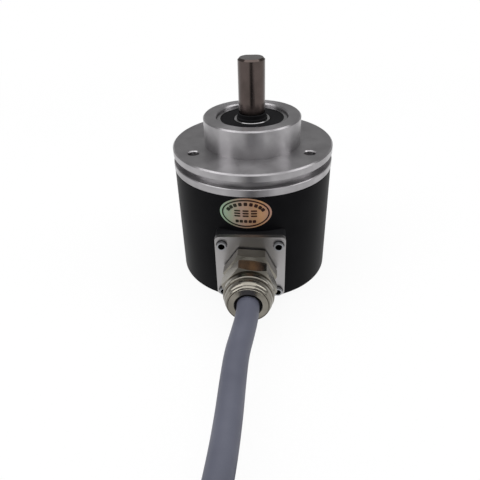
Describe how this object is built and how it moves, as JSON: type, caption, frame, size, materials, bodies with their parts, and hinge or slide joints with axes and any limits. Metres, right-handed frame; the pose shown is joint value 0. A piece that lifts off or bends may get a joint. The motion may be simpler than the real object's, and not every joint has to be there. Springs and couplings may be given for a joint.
{
  "type": "rotary encoder",
  "caption": "Solid-shaft rotary encoder: flanged round housing with a pilot boss, D-cut shaft on ball bearings, coded disc inside, and a side cable gland with a coiled open-ended lead.",
  "frame": {"origin": "the shaft axis at the flange's mounting face, at the foot of the pilot boss", "axes": "+Z out along the shaft; the cable gland points to -Y; +X completes the right-hand frame"},
  "size_m": [0.0938, 0.2096, 0.0691],
  "materials": {
    "aluminium_turned": "fine turned",
    "bearing_steel": "ground",
    "cage_brass": "pressed",
    "nitrile_rubber": "matt black",
    "spring_steel": "phosphated",
    "shaft_steel": "ground stainless",
    "black_coated_cover": "satin black",
    "zinc_steel": "zinc plated",
    "standoff_brass": "turned",
    "board_laminate": "green solder mask",
    "black_plastic": "moulded",
    "lamp_resin": "clear moulded",
    "reticle_glass": "chrome-lined glass",
    "ceramic": "fired",
    "white_nylon": "moulded",
    "wire_insulation": "extruded, one colour to each wire",
    "plate_steel": "satin",
    "nickelled_brass": "bright nickel plated",
    "grey_nylon": "moulded",
    "cable_jacket": "extruded grey PVC",
    "tie_nylon": "moulded black",
    "tinned_copper": "tinned",
    "label_foil": "iridescent foil",
    "hub_aluminium": "turned",
    "disc_steel": "etched"
  },
  "bodies": {
    "housing": {"front_flange": "aluminium_turned", "front_bearing_outer_ring": "bearing_steel", "front_bearing_seals": "nitrile_rubber", "rear_bearing_outer_ring": "bearing_steel", "rear_bearing_seals": "nitrile_rubber", "bearing_wave_washer": "spring_steel", "bearing_circlip": "spring_steel", "cover_o_ring": "nitrile_rubber", "rear_cover": "black_coated_cover", "cover_screws": "zinc_steel", "front_standoffs": "standoff_brass", "rear_standoffs": "standoff_brass", "main_board": "board_laminate", "lamp_bracket": "black_plastic", "lamp": "lamp_resin", "light_sensor": "black_plastic", "reticle": "reticle_glass", "line_driver_chip": "black_plastic", "small_board_parts": "ceramic", "board_header": "white_nylon", "wire_plug": "white_nylon", "inner_wires": "wire_insulation", "gland_plate": "plate_steel", "gland_gasket": "nitrile_rubber", "plate_screws": "zinc_steel", "gland_body": "nickelled_brass", "gland_washer": "nitrile_rubber", "gland_lock_nut": "nickelled_brass", "gland_claw": "grey_nylon", "gland_seal": "nitrile_rubber", "gland_cap_nut": "nickelled_brass", "cable_inner": "cable_jacket", "oval_label": "label_foil", "cable_lead": "cable_jacket", "cable_coil": "cable_jacket", "cable_tail": "cable_jacket", "coil_ties": "tie_nylon", "end_wires": "wire_insulation", "wire_tips": "tinned_copper"},
    "shaft_assembly": {"shaft": "shaft_steel", "dust_collar": "nitrile_rubber", "front_bearing_inner_ring": "bearing_steel", "rear_bearing_inner_ring": "bearing_steel", "bearing_spacer": "shaft_steel", "shaft_circlip": "spring_steel", "disc_hub": "hub_aluminium", "code_disc": "disc_steel", "disc_clamp_ring": "hub_aluminium", "hub_set_screws": "zinc_steel"},
    "front_ball_set": {"front_bearing_balls": "bearing_steel", "front_bearing_cage": "cage_brass"},
    "rear_ball_set": {"rear_bearing_balls": "bearing_steel", "rear_bearing_cage": "cage_brass"}
  },
  "joints": [
    {"name": "shaft_spin", "type": "hinge", "parent": "housing", "child": "shaft_assembly", "pos_m": [0, 0, 0], "axis": [0, 0, 1], "continuous": true},
    {"name": "front_ball_orbit", "type": "hinge", "parent": "housing", "child": "front_ball_set", "pos_m": [0, 0, 0.0039], "axis": [0, 0, 1], "continuous": true},
    {"name": "rear_ball_orbit", "type": "hinge", "parent": "housing", "child": "rear_ball_set", "pos_m": [0, 0, -0.0101], "axis": [0, 0, 1], "continuous": true}
  ],
  "couplings": [
    {"joint": "front_ball_orbit", "follows": "shaft_spin", "ratio": 0.3677},
    {"joint": "rear_ball_orbit", "follows": "shaft_spin", "ratio": 0.3677}
  ]
}
